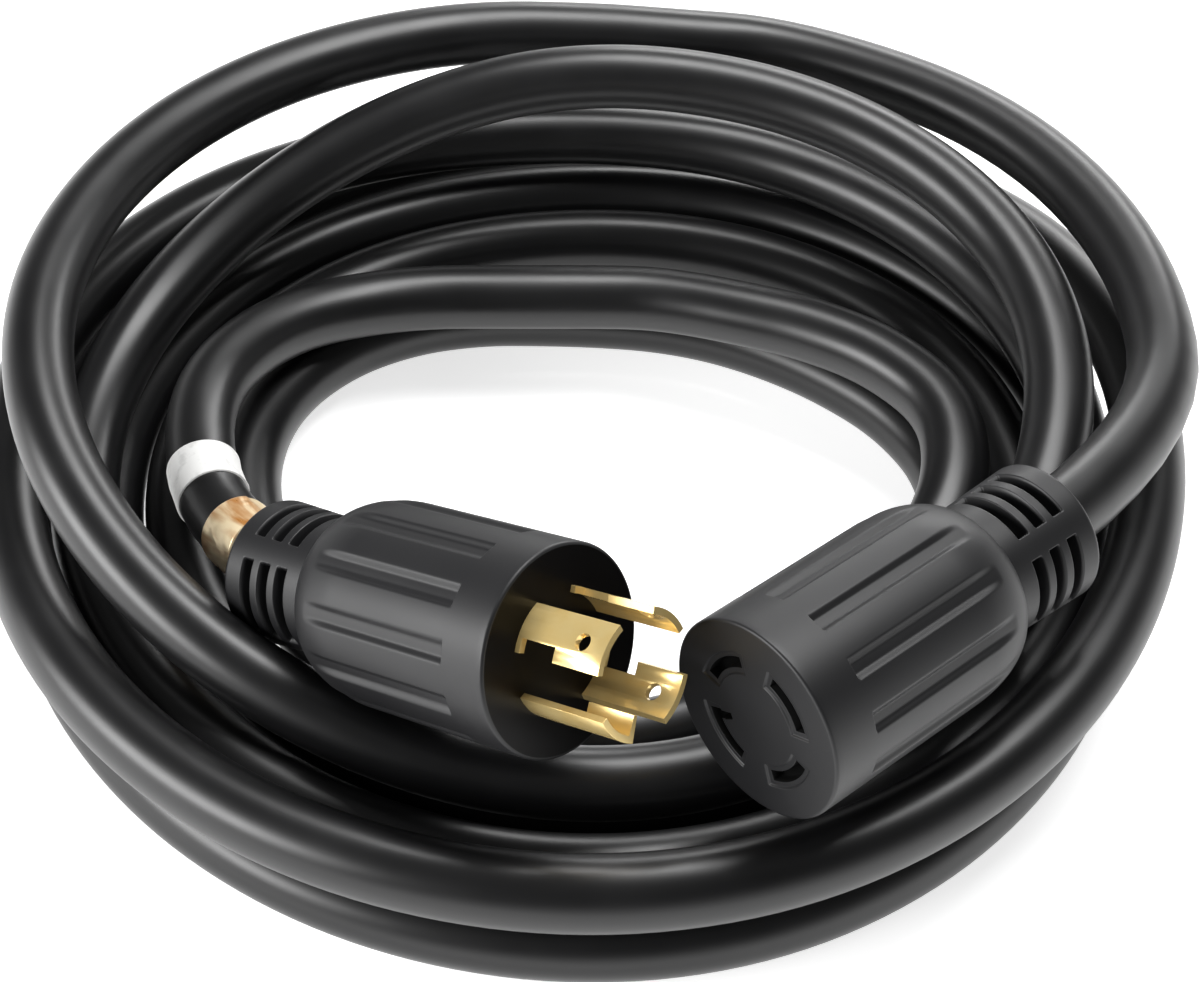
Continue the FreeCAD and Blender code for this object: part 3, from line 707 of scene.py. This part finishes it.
def foil_material():
    """Metallised gold film: bright metal, a gold tone in streaks that run to pale painted highlight and
    brown painted shade.
    """
    material, tree, shader = new_material("crumpled_gold_foil")
    set_shader(shader, Metallic=0.35)
    wrap = add(tree, "ShaderNodeUVMap", {"uv_map": "wrap"})
    # Streaks run along the cord, because the foil was drawn tight round it. In the colour their pale ends
    # are painted highlight and their brown ends painted shade
    stretched = add(tree, "ShaderNodeVectorMath", {"operation": "MULTIPLY"}, links={0: wrap.outputs["UV"]})
    stretched.inputs[1].default_value = (CORD_AROUND_MM / STREAK_W, FOIL_BAND_L / STREAK_L, 1.0)
    streak_and_painted_light = add(tree, "ShaderNodeTexNoise", values={"Scale": 1.0, "Detail": 4.0, "Distortion": 0.6},
                 links={"Vector": stretched.outputs["Vector"]})
    # Brown to pale cream: the gold tone with painted shade at one end and painted highlight at the other
    ramp = add(tree, "ShaderNodeValToRGB", links={"Fac": streak_and_painted_light.outputs["Fac"]})
    ramp.color_ramp.elements[0].position = 0.32
    ramp.color_ramp.elements[0].color = linear("BE8448")
    ramp.color_ramp.elements[1].position = 0.58
    ramp.color_ramp.elements[1].color = linear("FBE6BE")
    tree.links.new(ramp.outputs["Color"], shader.inputs["Base Color"])
    gloss = add(tree, "ShaderNodeMapRange", values={"To Min": 0.22, "To Max": 0.40},
                links={"Value": streak_and_painted_light.outputs["Fac"]})
    tree.links.new(gloss.outputs["Result"], shader.inputs["Roughness"])
    bump = add(tree, "ShaderNodeBump", values={"Strength": 0.3, "Distance": 0.15 * MM},
               links={"Height": streak_and_painted_light.outputs["Fac"]})
    tree.links.new(bump.outputs["Normal"], shader.inputs["Normal"])
    return material


def film_relief(across, down):
    """Film lies nearly flat, with two soft waves where it was pulled tight."""
    return 0.05 * np.sin(across / 4.0 + 0.3 * down) + 0.03 * np.sin(down / 2.2 + across / 9.0)


def foil_relief(across, down):
    """Foil stands up in ridges a few tenths of a millimetre high."""
    return CRUMPLE_DEPTH * crumple(across, down, 14, 2.5, 7.0)


white_rings = band_rings(WHITE_BAND_AT, WHITE_BAND_L, 0.30, film_relief)
white_band = skin("white_wrap", white_rings, [film_material()])
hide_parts("white_marker_band")
foil_rings = band_rings(FOIL_BAND_AT, FOIL_BAND_L, 0.62, foil_relief)
foil_band = skin("gold_foil_wrap", foil_rings, [foil_material()])
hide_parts("gold_foil_band")

# %% [markdown]
# ## Brass
#
# The blades are stamped from brass strip and tumbled bright. Their shape comes from the
# construction model: curved about the plug's axis, with a flange at the root, a narrow neck, a
# hooked head and a catch hole. Here each gets a small bevel, because a tumbled edge always catches
# light.

# %% Brass material and blades
def brass_material(name, colour, dark, roughness):
    """Stamped brass: warm bright metal with faint rolling marks and a little tarnish."""
    material, tree, shader = new_material(name)
    set_shader(shader, Metallic=0.62)
    place = add(tree, "ShaderNodeTexCoord")
    marks = add(tree, "ShaderNodeTexNoise", values={"Scale": 1 / (4 * MM), "Detail": 2.0},
                links={"Vector": place.outputs["Object"]})
    tarnish = add(tree, "ShaderNodeTexNoise", values={"Scale": 1 / (6 * MM), "Detail": 5.0},
                  links={"Vector": place.outputs["Object"]})
    tint = add(tree, "ShaderNodeMix", {"data_type": "RGBA"}, links={"Factor": tarnish.outputs["Fac"]})
    tint.inputs["A"].default_value = linear(dark)
    tint.inputs["B"].default_value = linear(colour)
    tree.links.new(tint.outputs["Result"], shader.inputs["Base Color"])
    gloss = add(tree, "ShaderNodeMapRange", values={"To Min": roughness - 0.05, "To Max": roughness + 0.08},
                links={"Value": marks.outputs["Fac"]})
    tree.links.new(gloss.outputs["Result"], shader.inputs["Roughness"])
    bump = add(tree, "ShaderNodeBump", values={"Strength": 0.10, "Distance": 0.08 * MM},
               links={"Height": marks.outputs["Fac"]})
    tree.links.new(bump.outputs["Normal"], shader.inputs["Normal"])
    return material


blade_brass = brass_material("tumbled_brass", "FFE8A8", "F2CD7C", 0.20)


def bevelled_copy(node, name, material, width):
    """Copy of a construction node with its loose triangles merged and its edges rounded."""
    mesh = bpy.data.objects[node].data.copy()
    piece = bpy.data.objects.new(name, mesh)
    bpy.context.scene.collection.objects.link(piece)
    build = bmesh.new()
    build.from_mesh(mesh)
    bmesh.ops.remove_doubles(build, verts=build.verts, dist=0.01 * MM)
    bmesh.ops.dissolve_limit(build, angle_limit=math.radians(1), verts=build.verts, edges=build.edges)
    build.to_mesh(mesh)
    build.free()
    mesh.materials.clear()
    mesh.materials.append(material)
    bevel = piece.modifiers.new("edge", "BEVEL")
    bevel.width = width * MM
    bevel.segments = 3
    bevel.limit_method = "ANGLE"
    bevel.angle_limit = math.radians(40)
    bevel.harden_normals = True
    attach(piece, "root")
    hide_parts(node)
    return piece


BLADE_BEVEL = 0.25
POLES = ("hot_x", "hot_y", "neutral", "ground")
for pole in POLES:
    node = "plug_blade_" + pole
    bevelled_copy(node, "blade_" + pole, blade_brass, BLADE_BEVEL)

# %% [markdown]
# ## Pieces that stay inside
#
# The inserts, the contacts and the ends of the four conductors sit inside the bodies. Their
# shapes come from the construction model, and they only need their finishes.

# %% Inner materials
def finish_node(node, material):
    """Give a construction node its finish."""
    piece = bpy.data.objects[node]
    piece.data.materials.clear()
    piece.data.materials.append(material)
    return piece


def insulation_material(colour, value):
    """Extruded core insulation: coloured, smooth, a little uneven in gloss."""
    material, tree, shader = new_material("core_insulation_" + colour)
    set_shader(shader, Base_Color=linear(value))
    place = add(tree, "ShaderNodeTexCoord")
    broad = add(tree, "ShaderNodeTexNoise", values={"Scale": 1 / (3 * MM)},
                links={"Vector": place.outputs["Object"]})
    gloss = add(tree, "ShaderNodeMapRange", values={"To Min": 0.3, "To Max": 0.42},
                links={"Value": broad.outputs["Fac"]})
    tree.links.new(gloss.outputs["Result"], shader.inputs["Roughness"])
    return material


nylon = moulded_material("moulded_nylon", "161617", 0.5)
contact_brass = brass_material("spring_brass", "D9AE60", "B98A3E", 0.3)
for colour, value in {"black": "151515", "white": "E6E6E2", "red": "A3131A", "green": "0F6B2E"}.items():
    insulation = insulation_material(colour, value)
    finish_node("plug_core_" + colour, insulation)
    finish_node("connector_core_" + colour, insulation)
finish_node("plug_blade_carrier", nylon)
finish_node("connector_contact_carrier", nylon)
for pole in POLES:
    finish_node("connector_contact_" + pole, contact_brass)

# %% [markdown]
# ## Floor and light
#
# The object is shown on white, as in a catalogue. The floor and the world are white to the camera,
# while the light that falls on the object stays at a plain level. A black glossy cord is all
# reflection, so what stands round it draws it: a long soft box overhead and a little behind makes
# the highlight along each turn, a box at the left and in front lights the flanks and the brass, a
# low one behind draws the upper edges, the dark of the room between them keeps the cord black, and
# the pale floor draws a fine line along its lower edge.

# %% Floor
FLOOR_SIZE = 6.0
# The floor lies this many metres below zero height, so that it and the cord never share a plane
FLOOR_DROP = 0.0002
FLOOR_GLOW = 0.70


def floor_material():
    """Pale floor that keeps a soft shadow, and is white where nothing shades it."""
    material, tree, shader = new_material("studio_floor")
    set_shader(shader, Base_Color=linear("F2F2F2"), Roughness=0.9, Specular_IOR_Level=0.0)
    glow = add(tree, "ShaderNodeEmission", values={"Color": (1, 1, 1, 1), "Strength": FLOOR_GLOW})
    both = add(tree, "ShaderNodeAddShader", links={0: shader.outputs["BSDF"], 1: glow.outputs["Emission"]})
    ray = add(tree, "ShaderNodeLightPath")
    seen = add(tree, "ShaderNodeMath", {"operation": "MAXIMUM"},
               links={0: ray.outputs["Is Camera Ray"], 1: ray.outputs["Is Glossy Ray"]})
    seen = add(tree, "ShaderNodeMath", {"operation": "MAXIMUM"},
               links={0: seen.outputs[0], 1: ray.outputs["Is Transmission Ray"]})
    switch = add(tree, "ShaderNodeMixShader",
                 links={0: seen.outputs[0], 1: shader.outputs["BSDF"], 2: both.outputs["Shader"]})
    tree.links.new(switch.outputs["Shader"], tree.nodes["Material Output"].inputs["Surface"])
    # The glow is only for being seen, so it isn't sampled as a lamp
    material.cycles.emission_sampling = "NONE"
    return material


corners = np.array([[-1, -1, 0], [1, -1, 0], [1, 1, 0], [-1, 1, 0]]) * FLOOR_SIZE / 2
floor_mesh = bpy.data.meshes.new("floor")
floor_mesh.from_pydata(corners - [0, 0, FLOOR_DROP], [], [[0, 1, 2, 3]])
floor_mesh.materials.append(floor_material())
floor = bpy.data.objects.new("floor", floor_mesh)
bpy.context.scene.collection.objects.link(floor)
print("floor", FLOOR_SIZE, "m across")

# %% Lamps
def soft_box(name, place, aim, size, power):
    """Area light of a size in metres at a place, turned to an aim."""
    data = bpy.data.lights.new(name, "AREA")
    data.shape = "RECTANGLE"
    data.size, data.size_y = size
    data.energy = power
    lamp = bpy.data.objects.new(name, data)
    lamp.location = place
    towards = mathutils.Vector(np.subtract(aim, place))
    lamp.rotation_euler = towards.to_track_quat("-Z", "Y").to_euler()
    bpy.context.scene.collection.objects.link(lamp)
    print("lamp", name, power, "W")
    return lamp


soft_box("overhead", (0.20, 0.30, 1.0), (0, 0, 0), (0.8, 0.32), 11.0)
soft_box("left_front", (-1.0, -0.42, 0.46), (0, 0, 0), (0.9, 0.38), 15.0)
soft_box("back_low", (0.35, 1.0, 0.42), (0, 0, 0), (0.8, 0.24), 5.5)

# %% World
PLAIN_LEVEL = 0.23
ROOM_BANDS = [(0.0, 1.0), (0.12, 0.70), (0.30, 0.15), (0.55, 0.06), (0.85, 0.12), (1.0, 0.20)]

world = bpy.data.worlds.new("studio")
world.use_nodes = True
# Mirrored rays see another room than diffuse ones, so the world isn't sampled as a lamp either
world.cycles.sampling_method = "NONE"
bpy.context.scene.world = world
tree = world.node_tree
output = tree.nodes["World Output"]
ray = add(tree, "ShaderNodeLightPath")
place = add(tree, "ShaderNodeTexCoord")
split = add(tree, "ShaderNodeSeparateXYZ", links={"Vector": place.outputs["Generated"]})
room = add(tree, "ShaderNodeValToRGB", links={"Fac": split.outputs["Z"]})
while len(room.color_ramp.elements) < len(ROOM_BANDS):
    room.color_ramp.elements.new(0.5)
for element, (position, level) in zip(room.color_ramp.elements, ROOM_BANDS):
    element.position = position
    element.color = (level, level, level, 1.0)
mirrored = add(tree, "ShaderNodeBackground", links={"Color": room.outputs["Color"]})
plain = add(tree, "ShaderNodeBackground", values={"Color": (1, 1, 1, 1), "Strength": PLAIN_LEVEL})
white = add(tree, "ShaderNodeBackground", values={"Color": (1, 1, 1, 1), "Strength": 1.0})
seen = add(tree, "ShaderNodeMath", {"operation": "MAXIMUM"},
           links={0: ray.outputs["Is Camera Ray"], 1: ray.outputs["Is Transmission Ray"]})
dim = add(tree, "ShaderNodeMixShader", links={
    0: ray.outputs["Is Glossy Ray"], 1: plain.outputs["Background"], 2: mirrored.outputs["Background"]})
whole = add(tree, "ShaderNodeMixShader", links={
    0: seen.outputs[0], 1: dim.outputs["Shader"], 2: white.outputs["Background"]})
tree.links.new(whole.outputs["Shader"], output.inputs["Surface"])
print("world", world.name, "with", len(ROOM_BANDS), "bands of light")

bpy.context.scene.view_settings.view_transform = "Standard"
